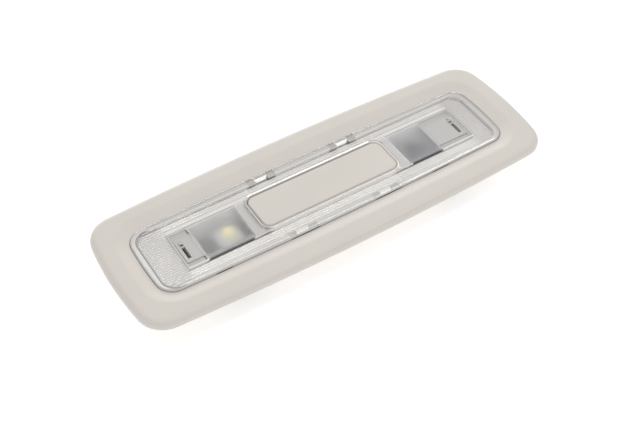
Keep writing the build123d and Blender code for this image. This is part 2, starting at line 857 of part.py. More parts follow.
# Contact pins, bent up through the board
with BuildPart() as inlet_pins:
    pin_end = inlet_start + inlet_back + pin_reach
    for place in GridLocations(0, pin_pitch, 1, pin_count).local_locations:
        with BuildSketch(Plane.XZ.offset(-place.position.Y - pin_size / 2)):
            with BuildLine():
                Polyline(
                    (pin_x - pin_size / 2, board_top + pin_stand),
                    (pin_x + pin_size / 2, board_top + pin_stand),
                    (pin_x + pin_size / 2, pin_level + pin_size / 2),
                    (pin_end, pin_level + pin_size / 2),
                    (pin_end, pin_level - pin_size / 2),
                    (pin_x - pin_size / 2, pin_level - pin_size / 2),
                    close=True,
                )
            make_face()
        extrude(amount=pin_size)

inlet_pins.part.label = "inlet_pins"
export_step(inlet_pins.part, "parts/inlet_pins.step")

# Rear cover: rim against the box walls, a tub behind it and two screw towers
tower_size = screw_head + 2 * (screw_head_play + cover_wall / 2)
with BuildPart() as rear_cover:
    with BuildSketch(Plane.XY.offset(cover_top)):
        add(box_outline())
    extrude(amount=-cover_rim)
    with BuildSketch(Plane.XY.offset(cover_top)):
        add(tub_outline(cover_inset))
    extrude(amount=cover_under - cover_top)
    chamfer(rear_cover.edges().group_by(Axis.Z)[0], length=cover_edge)
    with BuildSketch(Plane.XY.offset(cover_top)):
        add(tub_outline(cover_inset + cover_wall))
    extrude(amount=cover_inside - cover_top, mode=Mode.SUBTRACT)

    # Tongues that locate the cover inside the carrier rim
    tongue_y = carrier_y - carrier_rim - tongue_play - tongue_thickness / 2
    with BuildSketch(Plane.XY.offset(cover_top - cover_rim)):
        with GridLocations(0, 2 * tongue_y, 1, 2):
            Rectangle(tongue_length, tongue_thickness)
    extrude(amount=cover_rim + tongue_height)

    # Screw towers
    with BuildSketch(Plane.XY.offset(cover_inside)):
        with Locations(*cover_screw_places):
            Rectangle(tower_size, tower_size)
    extrude(amount=cover_top - cover_inside)
    with BuildSketch(Plane.XY.offset(cover_top)):
        with Locations(*cover_screw_places):
            Circle(screw_hole / 2)
    extrude(amount=cover_under - cover_top, mode=Mode.SUBTRACT)
    with BuildSketch(Plane.XY.offset(cover_top - cover_screw_seat)):
        with Locations(*cover_screw_places):
            Circle(screw_head / 2 + screw_head_play)
    extrude(amount=cover_under - cover_top + cover_screw_seat, mode=Mode.SUBTRACT)

    # Way out for the plug inlet
    with BuildSketch(Plane.YZ.offset(inlet_front - cover_wall - cover_inset)):
        with Locations((0, (cover_top + inlet_under) / 2)):
            Rectangle(inlet_width + 2 * inlet_play, cover_top - inlet_under)
    extrude(amount=2 * (cover_wall + cover_inset), mode=Mode.SUBTRACT)

rear_cover.part.label = "rear_cover"
export_step(rear_cover.part, "parts/rear_cover.step")


def hexagon_screw(seat_level, length):
    """One hexagon-head screw that enters upwards, with its head under the given level."""
    with BuildPart() as screw:
        with BuildSketch(Plane.XY.offset(seat_level)):
            RegularPolygon(screw_head / 2, 6)
        extrude(amount=-screw_head_height)
        with BuildSketch(Plane.XY.offset(seat_level)):
            Circle(screw_diameter / 2)
        extrude(amount=length)
    return screw.part


# Screws that pull the rear cover against the carrier
with BuildPart() as cover_screws:
    with Locations(*cover_screw_places):
        add(hexagon_screw(cover_top - cover_screw_seat, cover_screw_seat + screw_grip - screw_tip_gap))

cover_screws.part.label = "cover_screws"
export_step(cover_screws.part, "parts/cover_screws.step")

# Screws that hold the board to the carrier
with BuildPart() as board_screws:
    with Locations(*board_screw_places):
        add(hexagon_screw(board_under, board_thickness + board_screw_grip - screw_tip_gap))

board_screws.part.label = "board_screws"
export_step(board_screws.part, "parts/board_screws.step")

# Spring clips: a flat leg in the pocket, a fold that the light stands on when it is laid down,
# and a bulged leaf that grips the headliner
clip_places = (
    (-1, -1, "front_left_clip"),
    (1, -1, "front_right_clip"),
    (-1, 1, "rear_left_clip"),
    (1, 1, "rear_right_clip"),
)
for side, facing, name in clip_places:
    leg_y = clip_leg_y + clip_thickness / 2
    with BuildPart() as clip:
        with BuildSketch(Plane.YZ.offset(side * clip_spacing / 2 - clip_width / 2)):
            with BuildLine():
                FilletPolyline(
                    (facing * leg_y, -clip_leg_top),
                    (facing * leg_y, -clip_leg),
                    (facing * (leg_y - clip_draw), clip_fold_level),
                    (facing * (leg_y - clip_draw + clip_fold), clip_fold_level),
                    (facing * (leg_y + clip_bulge), -clip_shoulder),
                    (facing * (leg_y + clip_tip_out), -clip_tip),
                    radius=clip_bend,
                )
            trace(line_width=clip_thickness)
        extrude(amount=clip_width)
    clip.part.label = name
    export_step(clip.part, f"parts/{name}.step")
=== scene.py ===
"""Car dome light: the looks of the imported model, in metres and in the frame of the CAD model."""
import functools
import json
import math

import bmesh
import bpy
import numpy as np
from mathutils import Matrix, Vector


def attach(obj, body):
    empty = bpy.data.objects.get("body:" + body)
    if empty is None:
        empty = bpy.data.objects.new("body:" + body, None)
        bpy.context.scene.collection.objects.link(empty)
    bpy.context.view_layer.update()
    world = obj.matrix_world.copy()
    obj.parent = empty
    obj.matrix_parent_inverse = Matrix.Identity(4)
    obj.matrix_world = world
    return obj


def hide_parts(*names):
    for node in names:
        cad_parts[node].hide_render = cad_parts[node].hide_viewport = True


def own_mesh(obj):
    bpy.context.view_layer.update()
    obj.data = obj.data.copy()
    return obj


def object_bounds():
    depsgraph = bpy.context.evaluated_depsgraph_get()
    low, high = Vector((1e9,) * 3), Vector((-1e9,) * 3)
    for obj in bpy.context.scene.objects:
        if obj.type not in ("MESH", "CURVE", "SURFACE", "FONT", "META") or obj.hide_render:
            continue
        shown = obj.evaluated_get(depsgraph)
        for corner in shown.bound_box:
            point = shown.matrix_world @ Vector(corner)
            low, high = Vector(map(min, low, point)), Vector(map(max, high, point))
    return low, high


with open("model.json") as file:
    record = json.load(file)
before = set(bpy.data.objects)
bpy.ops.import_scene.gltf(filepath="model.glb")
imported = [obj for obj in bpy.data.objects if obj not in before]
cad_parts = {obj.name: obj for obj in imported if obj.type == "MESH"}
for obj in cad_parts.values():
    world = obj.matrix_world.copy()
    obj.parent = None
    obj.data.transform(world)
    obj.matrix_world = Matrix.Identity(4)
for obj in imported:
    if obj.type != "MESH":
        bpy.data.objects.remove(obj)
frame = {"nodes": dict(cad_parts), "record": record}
cad_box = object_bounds()

MM = 0.001

# Lens: outline, levels and rounded edge, in millimetres as all sizes on the light
LENS_HALF_LENGTH = 81.4
LENS_HALF_WIDTH = 18.6
LENS_END_BOW = 1.0
LENS_SIDE_BOW = 1.2
LENS_CORNER = 7.5
LENS_TOP = 3.25
LENS_UNDER = 1.25
SHEET_GAP = 0.02                      # air between a clear piece and the next
BELOW_SLAB = LENS_UNDER - SHEET_GAP   # where the pieces under the slab start
EDGE_WIDTH = 1.6
EDGE_DROP = 1.25
EDGE_FROST = math.radians(45)         # the edge is frosted below this turn of its rounding
EDGE_RINGS = 7                        # rings on each half of the rounding

# Skirt of the lens, the inside of the ledge that it stands on, and its lip
SKIRT_FOOT = 0.45
SKIRT_INSET = 0.1
LEDGE_LENGTH = 157.6
LEDGE_WIDTH = 31.6
LEDGE_CORNER = 6.0
LIP_FOOT = 0.1
LIP_GAP = 0.07
LIP_WIDTH = 0.25
LIP_INSIDE = LIP_GAP + LIP_WIDTH      # from the ledge to the inner face of the lip

# Opening for the rocker, its frosted lining, and the flange of that collar
OPENING_LENGTH = 64.6
OPENING_WIDTH = 18.5
OPENING_CORNER = 4.0
MOUTH_BEVEL = 0.1
LINING = 0.5
COLLAR_LENGTH = 73.6
COLLAR_PROUD = 0.05                   # flange past the lining, on both sides
COLLAR_CORNER = 0.6
COLLAR_DROP = 0.15                    # top of the collar under the top of the lens
COLLAR_FLANGE = 0.45                  # underside of the flange
COLLAR_FOOT = -0.5

# Rib round the lamp windows and the rocker, and the slits in front of the lamps
FRAME_LEFT = -66.8
FRAME_RIGHT = 69.4
FRAME_WIDTH = 20.1
FRAME_RIB = 0.5
FRAME_FOOT = 0.4
FRAME_BEVEL = 0.12
SLITS = ((-57.9, -37.7), (37.7, 53.3))

# Snap hooks, the room that the skirt leaves them, the steps beside them and the bays over them
HOOK_PLACE = 19.7
HOOK_WIDTH = 5.6
HOOK_SIDE = 0.05
HOOK_ROOM = 12.8
HOOK_FACE = 18.25
HOOK_THICKNESS = 1.3
HOOK_FOOT = -3.4
BARB_REACH = 1.3
BARB_TOP = -0.6
BARB_EDGE = -1.1                      # where the barb starts to slope back
FLANK_WIDTH = 3.4
FLANK_HEIGHT = 0.5
BAY_LENGTH = 57.0

# Wells of the lamps, by centre and length, and the cups of gel in the lamps
LEFT_WELL = (-47.4, 20.2)
RIGHT_WELL = (45.1, 15.6)
WELL_NEAR = -7.3
WELL_FAR = 8.3
LED_PLACE = (44.3, 0.9)
LED_TOP = -2.7
LED_CUP = 2.7
LED_CUP_DEPTH = 0.3
GEL_SIDE = 0.05
GEL_CROWN = 0.6
GEL_RINGS = 8
GEL_TURNS = 40

# Prisms under the lens, and how far their centres stay from ribs, bays and hooks
PRISM_PITCH = 1.2
PRISM_DEPTH = 0.12
PRISM_SHEET = 0.1
PRISM_MARGIN = 0.65 * PRISM_PITCH
PRISM_SHARP = 2                       # degrees, so that the low pyramids keep their edges
BAY_MARGIN = 0.5
HOOK_MARGIN = 0.6

# Points on a quarter of a ring: places along the side, and steps round the corner and down the end
SIDE_PLACES = np.array([
    0, 6.6, HOOK_PLACE - HOOK_ROOM / 2, HOOK_PLACE - HOOK_WIDTH / 2 - HOOK_SIDE,
    HOOK_PLACE + HOOK_WIDTH / 2 + HOOK_SIDE, HOOK_PLACE + HOOK_ROOM / 2,
    34.0, 42.0, 50.0, 58.0, 66.0,
])
CORNER_STEPS = 12
END_STEPS = 5
PLACE_SLACK = 0.2                     # a point this far past the end of a band still counts to it

# Finishes: sizes of grain and drift, and places where a tone changes
FROST_GRAIN = 0.15
SATIN_GRAIN = 0.35
TONE_DRIFT = 18.0
LOT_DRIFT = 9.0
ROUGHNESS_SWING = 0.06
FROST_SHIFT = -0.4                    # frost over the wells, to the left and the near side
FROST_MARGIN = 0.6                    # frost over the wells, in from the rib
WELL_PAST = 1.0                       # frost and painted shade of a well, longer than the well
WELL_SHADE_SHIFT = -2.3                     # painted shade of a well, to the near side
WELL_SHADE_PAST = 2.0                       # painted shade of a well, wider than the well
RIM_PAINTED_SHADOWS = ((-55.8, 7.0), (45.8, 8.5))   # painted shadows in the gap by the lamps, by centre and length
SKIRT_PAINTED_LINE = (0.15, 0.35)             # out from the ledge: a painted shadow to here, painted paler from here
BLACK = (0, 0, 0, 1)

# Studio: half of the floor's side in metres, and the strength of the sky
FLOOR_HALF = 3.0
SKY_STRENGTH = 0.53

# Camera of the photograph: its turn and tilt, its distance in millimetres and what it aims at
IMAGE_WIDTH = 640
SENSOR_WIDTH = 36.0
CAMERA_TURN = math.radians(32.431)
CAMERA_TILT = math.radians(47.915)
CAMERA_DISTANCE = 446.78
CAMERA_AIM = Vector((-8.757, -11.253, 0.0))
PIXELS_PER_MM = 2.5053                # at that distance


class Term:
    """A number carried by a socket. Arithmetic on it adds Math nodes to the same material."""

    def __init__(self, finish, socket):
        self.finish = finish
        self.socket = socket

    def join(self, operation, *terms):
        """Adds a Math node over the terms."""
        return self.finish.node("ShaderNodeMath", {"operation": operation}, dict(enumerate(terms)))

    def __add__(self, other):
        return self.join("ADD", self, other)

    def __radd__(self, other):
        return self.join("ADD", other, self)

    def __sub__(self, other):
        return self.join("SUBTRACT", self, other)

    def __rsub__(self, other):
        return self.join("SUBTRACT", other, self)

    def __mul__(self, other):
        return self.join("MULTIPLY", self, other)

    def __rmul__(self, other):
        return self.join("MULTIPLY", other, self)

    def __abs__(self):
        return self.join("ABSOLUTE", self)

    def most(self, other):
        """The larger of the two."""
        return self.join("MAXIMUM", self, other)


class Finish:
    """A material in the making: its nodes, its shader, and the place on the light in
    millimetres."""

    def __init__(self, name, **constants):
        self.material = bpy.data.materials.new(name)
        self.material.use_nodes = True
        self.tree = self.material.node_tree
        self.shader = self.tree.nodes["Principled BSDF"]
        metres = self.node("ShaderNodeTexCoord", output="Object")
        self.place = self.node(
            "ShaderNodeVectorMath", {"operation": "SCALE"}, {"Vector": metres, "Scale": 1 / MM}
        )
        split = self.node("ShaderNodeSeparateXYZ", sockets={"Vector": self.place}).socket.node
        self.x, self.y, self.z = (Term(self, split.outputs[axis]) for axis in range(3))
        self.dressed(**constants)

    def feed(self, node, sockets):
        """Puts each value or link into the socket with that name or number."""
        for key, value in sockets.items():
            if isinstance(value, Term):
                self.tree.links.new(value.socket, node.inputs[key])
            else:
                node.inputs[key].default_value = value

    def node(self, kind, settings=None, sockets=None, output=0):
        """Adds a node of that type, with its settings first, and gives back one of its outputs."""
        node = self.tree.nodes.new(kind)
        for name, value in (settings or {}).items():
            setattr(node, name, value)
        self.feed(node, sockets or {})
        return Term(self, node.outputs[output])

    def noise(self, size, detail=2.0, stretch=(1.0, 1.0, 1.0)):
        """Noise from 0 to 1 whose features are about as large as that size in millimetres."""
        scaled = self.node(
            "ShaderNodeVectorMath", {"operation": "MULTIPLY"},
            {0: self.place, 1: tuple(part / size for part in stretch)},
        )
        return self.node(
            "ShaderNodeTexNoise", {}, {"Vector": scaled, "Scale": 1.0, "Detail": detail}
        )

    def fade(self, value, start, end):
        """Smooth change from 0 to 1 while the value goes from start to end."""
        return self.node(
            "ShaderNodeMapRange", {"interpolation_type": "SMOOTHSTEP"},
            {"Value": value, "From Min": start, "From Max": end},
        )

    def patch(self, x, y, length, width, edge):
        """1 inside a rectangle and 0 outside it, with a soft edge as wide as given."""
        along = abs(self.x - x) - length / 2
        across = abs(self.y - y) - width / 2
        return self.fade(along.most(across), edge / 2, -edge / 2)

    def spot(self, x, y, start, end):
        """Smooth change from 0 to 1 while the square of the distance from a place goes from start
        to end."""
        along, across = self.x - x, self.y - y
        return self.fade(along * along + across * across, start, end)

    def tint(self, share, first, second):
        """Colour that goes from the first to the second as the share goes from 0 to 1."""
        return self.node(
            "ShaderNodeMix", {"data_type": "RGBA"}, {0: share, 6: first, 7: second}, output=2
        )

    def relief(self, height, depth):
        """Normal of a surface whose height varies from 0 to 1 over that depth in millimetres."""
        return self.node(
            "ShaderNodeBump", {}, {"Height": height, "Distance": depth * MM, "Strength": 1.0}
        )

    def let_light_in(self):
        """Light on its way to what is behind the clear plastic passes straight through it."""
        ray = self.node("ShaderNodeLightPath", output="Is Shadow Ray")
        bounce = Term(self, ray.socket.node.outputs["Is Diffuse Ray"])
        passing = self.node("ShaderNodeBsdfTransparent", {}, {"Color": (0.95, 0.95, 0.95, 1)})
        seen = Term(self, self.shader.outputs["BSDF"])
        both = self.node("ShaderNodeMixShader", {}, {0: ray.most(bounce), 1: seen, 2: passing})
        self.feed(self.tree.nodes["Material Output"], {"Surface": both})

    def dressed(self, **values):
        """Puts values or links into the shader's sockets, named with _ for each space, and gives
        back the material."""
        self.feed(self.shader, {name.replace("_", " "): value for name, value in values.items()})
        return self.material

    def grained(self, size, depth, smooth, rough, **varying):
        """Dresses the shader with grain of that size and depth, whose gloss goes from smooth to
        rough with its height, and with what else varies."""
        pits = self.noise(size, detail=3.0)
        return self.dressed(
            Roughness=smooth + (rough - smooth) * pits, Normal=self.relief(pits, depth), **varying
        )


def shade(colour, factor):
    """The colour made lighter or darker, with full opacity."""
    return tuple(min(1.0, part * factor) for part in colour[:3]) + (1.0,)


def moulded(name, colour, roughness, grain=SATIN_GRAIN, depth=0.008, mottle=0.03, **constants):
    """Moulded plastic: fine spark-eroded grain, a slow drift of tone, and gloss that follows the
    grain."""
    finish = Finish(name, **constants)
    drift = finish.noise(TONE_DRIFT, detail=1.0)
    return finish.grained(
        grain, depth, roughness - ROUGHNESS_SWING, roughness + ROUGHNESS_SWING,
        Base_Color=finish.tint(drift, shade(colour, 1 - mottle), shade(colour, 1 + mottle)),
    )


def frosted(name, colour, **constants):
    """Frosted plastic of the lens's ribs and steps, in one tone."""
    return moulded(name, colour, roughness=0.4, grain=FROST_GRAIN, depth=0.004, **constants)


def over_wells(finish, shift, middle, past, width, edge):
    """A patch over each lamp's well, moved along it by the shift and longer than it by what goes
    past it."""
    return [
        finish.patch(centre + shift, middle, length + past, width, edge)
        for centre, length in (LEFT_WELL, RIGHT_WELL)
    ]


def under_slab(finish):
    """0 up to just under the slab of the lens, and 1 below that."""
    return finish.fade(finish.z, start=LENS_UNDER - 0.05, end=LENS_UNDER - 0.15)


def clear_lens():
    """Clear acrylic: polished, but frosted on its inside over the two lamps."""
    finish = Finish("clear_lens", IOR=1.49, Transmission_Weight=1.0)
    width = FRAME_WIDTH - 2 * (FRAME_RIB + FROST_MARGIN)
    left, right = over_wells(finish, FROST_SHIFT, FROST_SHIFT, WELL_PAST, width, edge=1.5)
    inside = finish.fade(finish.z, start=LENS_UNDER + 0.3, end=LENS_UNDER + 0.1)
    frost = left.most(right) * inside
    flow = finish.noise(9.0, detail=1.0, stretch=(0.4, 1.0, 1.0))
    finish.let_light_in()
    return finish.dressed(
        Base_Color=finish.tint(frost, (0.985, 0.98, 0.975, 1), (0.96, 0.965, 0.97, 1)),
        Roughness=0.02 + 0.83 * frost,
        Normal=finish.relief(flow, depth=0.004),
    )


def reflector_finish():
    """Satin white moulding, with painted shade inside the wells: greyer there, most in the right
    one, whose lamp is dark, and darker still towards the near side."""
    finish = Finish("reflector")
    left, right = over_wells(
        finish, shift=0, middle=(WELL_FAR + WELL_NEAR) / 2 + WELL_SHADE_SHIFT, past=WELL_PAST,
        width=WELL_FAR - WELL_NEAR + WELL_SHADE_PAST, edge=4.0,
    )
    # Painted shade in the wells, darkest towards the near side and in the right well.
    near = finish.fade(finish.y, start=WELL_NEAR + 0.8, end=WELL_NEAR - 0.5)
    left_well_shade = finish.tint(near, (0.42, 0.41, 0.40, 1), (0.30, 0.295, 0.29, 1))
    right_well_shade = finish.tint(near, (0.37, 0.36, 0.365, 1), (0.17, 0.17, 0.18, 1))
    plate = finish.tint(left, (0.62, 0.605, 0.59, 1), left_well_shade)
    return finish.grained(
        SATIN_GRAIN, depth=0.002, smooth=0.3, rough=0.4,
        Base_Color=finish.tint(right, plate, right_well_shade),
    )


def collar_finish():
    """Frosted plastic of the collar, with painted light and shade: pale along its far side and on
    its near face, a painted shade of grey on the wall beside the rocker, lighter to the right, and
    a painted glow on that wall along the far side and to the right, and elsewhere under the slab
    and on the near face."""
    finish = Finish("collar", Emission_Strength=1.0)
    near_face = -OPENING_WIDTH / 2 - LINING
    far = finish.fade(finish.y, start=7.5, end=9.0)
    near = finish.fade(finish.y, start=near_face + 0.1, end=near_face + 0.03)
    right = finish.fade(finish.x, start=26, end=32)
    wall = finish.patch(0, 0, OPENING_LENGTH + 0.1, OPENING_WIDTH + 0.1, edge=0.05)
    # Painted light and shade: tones by side, a grey painted shade on the wall, and a painted glow.
    plain = finish.tint(near, (0.66, 0.645, 0.63, 1), (0.84, 0.825, 0.80, 1))
    body = finish.tint(far, plain, (0.76, 0.75, 0.735, 1))
    wall_painted_shade = finish.tint(right, (0.54, 0.52, 0.49, 1), (0.78, 0.765, 0.74, 1))
    wall_painted_glow = finish.tint(right, (0.12, 0.115, 0.11, 1), (0.15, 0.145, 0.135, 1))
    below = finish.tint(under_slab(finish).most(0.5 * near), BLACK, (0.12, 0.12, 0.115, 1))
    body_painted_glow = finish.tint(wall, below, BLACK)
    return finish.grained(
        FROST_GRAIN, depth=0.003, smooth=0.35, rough=0.45,
        Base_Color=finish.tint(wall, body, wall_painted_shade),
        Emission_Color=finish.tint(wall * far.most(right), body_painted_glow, wall_painted_glow),
    )


def rim_finish():
    """Frosted edge of the lens, with painted shade: brown along the far side as a painted shadow of
    the gap at the bezel, and dark low on the near side as painted shadows in the gap, at the hooks,
    which no skirt stands behind, and by the lamps."""
    finish = Finish("lens_rim")
    far = finish.fade(finish.y, start=14.0, end=16.5)
    low = finish.fade(finish.z, start=2.5, end=2.1)
    # Painted shadow of the gap: brown along the far side, dark dashes low on the near side.
    body = finish.tint(far, (0.64, 0.625, 0.61, 1), (0.48, 0.45, 0.42, 1))
    places = ((-HOOK_PLACE, HOOK_ROOM), (HOOK_PLACE, HOOK_ROOM), *RIM_PAINTED_SHADOWS)
    painted_gap_shadows = functools.reduce(Term.most, [
        finish.patch(x, -LENS_HALF_WIDTH, length, width=4.0, edge=1.5) for x, length in places
    ])
    return finish.grained(
        FROST_GRAIN, depth=0.002, smooth=0.15, rough=0.25,
        Base_Color=finish.tint(painted_gap_shadows * low, body, (0.15, 0.14, 0.13, 1)),
    )


def skirt_finish():
    """Frosted plastic with a faint painted glow, most under the slab. The inner edge of the skirt
    has a painted highlight, a white line along the far side, and a painted shadow, a dark line
    round the left end, beyond which the skirt is painted paler."""
    finish = Finish("lens_skirt", Emission_Strength=1.0)
    far_edge = LEDGE_WIDTH / 2 - LIP_INSIDE
    # Painted highlight along the far inner edge, and painted shadow and painted light round the
    # left end.
    far_painted_highlight = finish.patch(0, far_edge + 0.25, 2 * LENS_HALF_LENGTH, width=0.4, edge=0.1)
    body = finish.tint(far_painted_highlight, (0.70, 0.69, 0.67, 1), (0.95, 0.95, 0.94, 1))
    past_x = (abs(finish.x) - LEDGE_LENGTH / 2 + LEDGE_CORNER).most(0)
    past_y = (abs(finish.y) - LEDGE_WIDTH / 2 + LEDGE_CORNER).most(0)
    dark_by, pale_by = ((LEDGE_CORNER + distance) ** 2 for distance in SKIRT_PAINTED_LINE)
    end_painted_shadow = finish.fade(past_x * past_x + past_y * past_y, start=pale_by, end=dark_by)
    end = finish.tint(end_painted_shadow, (0.84, 0.83, 0.81, 1), (0.34, 0.33, 0.315, 1))
    at_end = finish.fade(finish.x, start=-70, end=-74)
    return finish.grained(
        FROST_GRAIN, depth=0.004, smooth=0.35, rough=0.45,
        Base_Color=finish.tint(at_end, body, end),
        Emission_Color=finish.tint(
            under_slab(finish), (0.02, 0.02, 0.02, 1), (0.16, 0.155, 0.15, 1)
        ),
    )


def hook_finish():
    """Clear plastic of the hooks: the post, between the root and the barb, is painted white with a
    painted glow, and the rest is grey with a faint painted glow."""
    finish = Finish("lens_hooks", Emission_Strength=1.0)
    below_root = finish.fade(finish.z, start=LENS_UNDER - 0.03, end=LENS_UNDER - 0.1)
    over_barb = finish.fade(finish.z, start=BARB_EDGE - 0.3, end=BARB_EDGE + 0.2)
    post = below_root * over_barb
    # Painted white and painted glow on the post, grey and a faint painted glow elsewhere.
    return finish.grained(
        FROST_GRAIN, depth=0.004, smooth=0.35, rough=0.45,
        Base_Color=finish.tint(post, (0.50, 0.49, 0.47, 1), (0.95, 0.95, 0.94, 1)),
        Emission_Color=finish.tint(post, (0.1, 0.1, 0.095, 1), (0.6, 0.6, 0.6, 1)),
    )


def carrier_finish():
    """Smooth satin plastic, painted paler under the prisms than inside the frame as painted light,
    palest along both sides and darker towards the ends, with a faint painted glow outside the
    frame."""
    finish = Finish("carrier_plastic", Emission_Strength=1.0)
    drift = finish.noise(TONE_DRIFT, detail=1.0)
    middle = (FRAME_LEFT + FRAME_RIGHT) / 2
    framed = finish.patch(middle, 0, FRAME_RIGHT - FRAME_LEFT, FRAME_WIDTH, edge=0.6)
    by_end = finish.fade(abs(finish.x - middle), start=66.0, end=70.0)
    sides = finish.tint(drift, (0.92, 0.905, 0.88, 1), (0.96, 0.945, 0.92, 1))
    field = finish.tint(by_end, sides, (0.76, 0.745, 0.725, 1))
    return finish.grained(
        SATIN_GRAIN, depth=0.004, smooth=0.44, rough=0.56,
        Base_Color=finish.tint(framed, field, (0.60, 0.585, 0.57, 1)),
        # Faint painted glow outside the frame.
        Emission_Color=finish.tint(framed, (0.02, 0.019, 0.018, 1), BLACK),
    )


def circuit_board_finish():
    """Dark solder mask over copper: tracks show as slightly lighter, glossier lanes. The mask is
    painted paler in the wells as painted light, with a painted blue shadow before the right lamp,
    and a pale patch round the left lamp carries a painted yellow glow of that lamp."""
    finish = Finish("solder_mask", Specular_IOR_Level=0.5)
    lanes = finish.node(
        "ShaderNodeTexWave", {"wave_type": "BANDS", "bands_direction": "Y"},
        {
            "Vector": finish.place, "Scale": 0.22, "Distortion": 2.5,
            "Detail": 1.0, "Detail Scale": 0.15,
        },
        output="Fac",
    )
    track = finish.fade(lanes, start=0.62, end=0.7)
    weave = finish.noise(0.5, detail=2.0)
    left, right = over_wells(finish, shift=0, middle=0, past=0, width=20, edge=0.3)
    # Painted shadow in blue before the right lamp, and painted light: a pale patch with a yellow
    # glow round the left lamp.
    shadow = finish.spot(RIGHT_WELL[0], -3.0, start=30, end=18)
    left_well_patch = finish.patch(-LED_PLACE[0] - 0.6, -1.6, length=10.0, width=9.0, edge=0.3)
    painted_lamp_glow = finish.spot(-LED_PLACE[0], LED_PLACE[1] - 1.0, start=18, end=4)
    mask = finish.tint(track, (0.012, 0.013, 0.015, 1), (0.03, 0.032, 0.034, 1))
    grey = finish.tint(left, mask, (0.16, 0.16, 0.16, 1))
    pale = finish.tint(right, grey, (0.27, 0.27, 0.28, 1))
    blue = finish.tint(shadow, pale, (0.10, 0.105, 0.125, 1))
    white = finish.tint(painted_lamp_glow, (0.62, 0.62, 0.61, 1), (0.80, 0.77, 0.48, 1))
    return finish.dressed(
        Base_Color=finish.tint(left_well_patch, blue, white),
        Roughness=0.45 - 0.12 * track + 0.1 * weave,
        Normal=finish.relief(track + 0.2 * weave, depth=0.02),
    )


def chip_body(name, first_lot, last_lot, roughness):
    """Matt body of a small chip: the grain is fine and the tone drifts from part to part."""
    finish = Finish(name)
    lots = finish.noise(LOT_DRIFT, detail=0.0)
    return finish.grained(
        size=0.2, depth=0.01, smooth=roughness, rough=roughness + 0.15,
        Base_Color=finish.tint(lots, first_lot, last_lot),
    )


def plated_metal(name, colour, roughness, scratch, stretch):
    """Bright metal with fine marks drawn out in the rolling direction and a cloudy plating."""
    finish = Finish(name, Metallic=1.0)
    marks = finish.noise(scratch, detail=4.0, stretch=stretch)
    clouds = finish.noise(2.5, detail=2.0)
    return finish.dressed(
        Base_Color=finish.tint(clouds, shade(colour, 0.86), shade(colour, 1.1)),
        Roughness=roughness + 0.18 * marks + 0.08 * clouds,
        Normal=finish.relief(marks, depth=0.006),
    )


def phosphor_gel():
    """Yellow phosphor in silicone, grainy and glossy on top, with a faint painted glow."""
    finish = Finish("phosphor_gel", Emission_Color=(1.0, 0.86, 0.36, 1), Emission_Strength=0.45)
    grains = finish.noise(0.12, detail=3.0)
    return finish.dressed(
        Base_Color=finish.tint(grains, (0.90, 0.66, 0.10, 1), (0.97, 0.85, 0.32, 1)),
        Roughness=0.3 + 0.2 * grains,
        Normal=finish.relief(grains, depth=0.01),
    )


def floor_paper():
    """White paper with a faint mottle, which glows a little as in a bright studio."""
    finish = Finish("floor_paper", Emission_Color=(1, 1, 1, 1), Emission_Strength=0.5)
    return finish.dressed(
        Base_Color=finish.tint(finish.noise(60.0), (0.90, 0.90, 0.90, 1), (0.92, 0.92, 0.92, 1)),
        Roughness=0.85 + 0.1 * finish.noise(3.0),
    )


def placed(name, data):
    """New object at the origin of the scene, with that data."""
    thing = bpy.data.objects.new(name, data)
    bpy.context.scene.collection.objects.link(thing)
    return thing


def make_piece(name, points, blocks, material, slot, sharp=28):
    """Puts points in millimetres and blocks of faces into a mesh that rides on the housing. Faces
    are turned outwards, and edges that turn by more than the given degrees stay sharp."""
    mesh = bpy.data.meshes.new(name)
    faces = [face for block in blocks for face in block.tolist()]
    mesh.from_pydata((points * MM).tolist(), [], faces)
    shape = bmesh.new()
    shape.from_mesh(mesh)
    bmesh.ops.recalc_face_normals(shape, faces=shape.faces)
    shape.to_mesh(mesh)
    shape.free()
    mesh.polygons.foreach_set("use_smooth", np.ones(len(mesh.polygons), dtype=bool))
    mesh.set_sharp_from_angle(angle=math.radians(sharp))
    mesh.materials.append(material)
    piece = placed(name, mesh)
    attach(piece, "housing")
    return piece


def around(quarter):
    """Closed ring from a quarter that runs from the middle of the far side to the middle of the
    right end: the quarter is mirrored to the near side, and both are turned half round."""
    near = (quarter * (1, -1))[::-1]
    return np.concatenate([part[:-1] for part in (quarter, near, -quarter, -near)])


def headings(angles):
    """Unit vectors at those angles."""
    return np.stack([np.cos(angles), np.sin(angles)], axis=-1)


